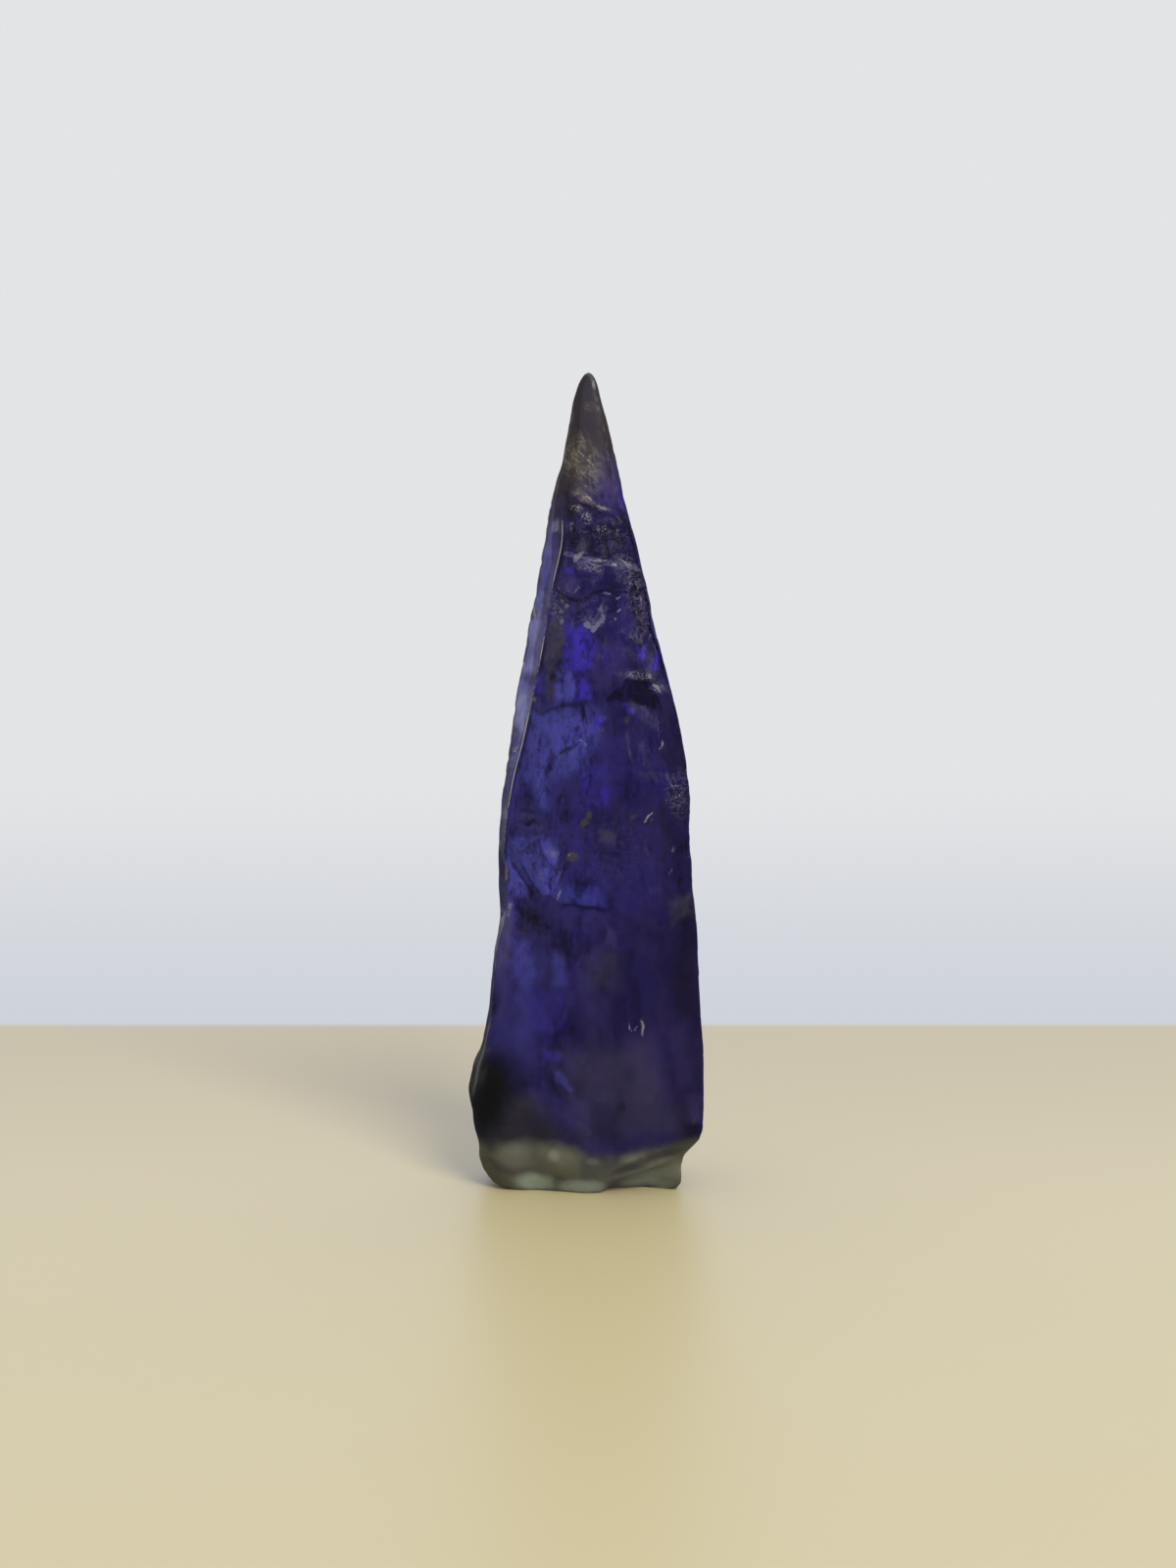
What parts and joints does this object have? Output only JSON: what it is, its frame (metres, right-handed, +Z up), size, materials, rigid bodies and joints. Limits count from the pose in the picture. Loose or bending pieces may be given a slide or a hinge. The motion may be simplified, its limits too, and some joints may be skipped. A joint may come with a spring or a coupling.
{
  "type": "tanzanite crystal",
  "caption": "Deep violet-blue gem crystal: a tapering wedge-shaped prism with a thin left edge, etched faces and a blunt tip, standing on a pale broken foot.",
  "frame": {"origin": "on the surface the crystal stands on, under the middle of its bounding box", "axes": "+Z up along the crystal, -Y out of its broad front face, -X towards its thin edge"},
  "size_m": [0.0202, 0.0124, 0.07],
  "materials": {
    "tanzanite": "clear, deep violet-blue, glossy on whole faces and rough where etched, with a pale grey-green foot and a brown tip"
  },
  "bodies": {
    "root": {"tanzanite_crystal": "tanzanite"}
  },
  "joints": []
}
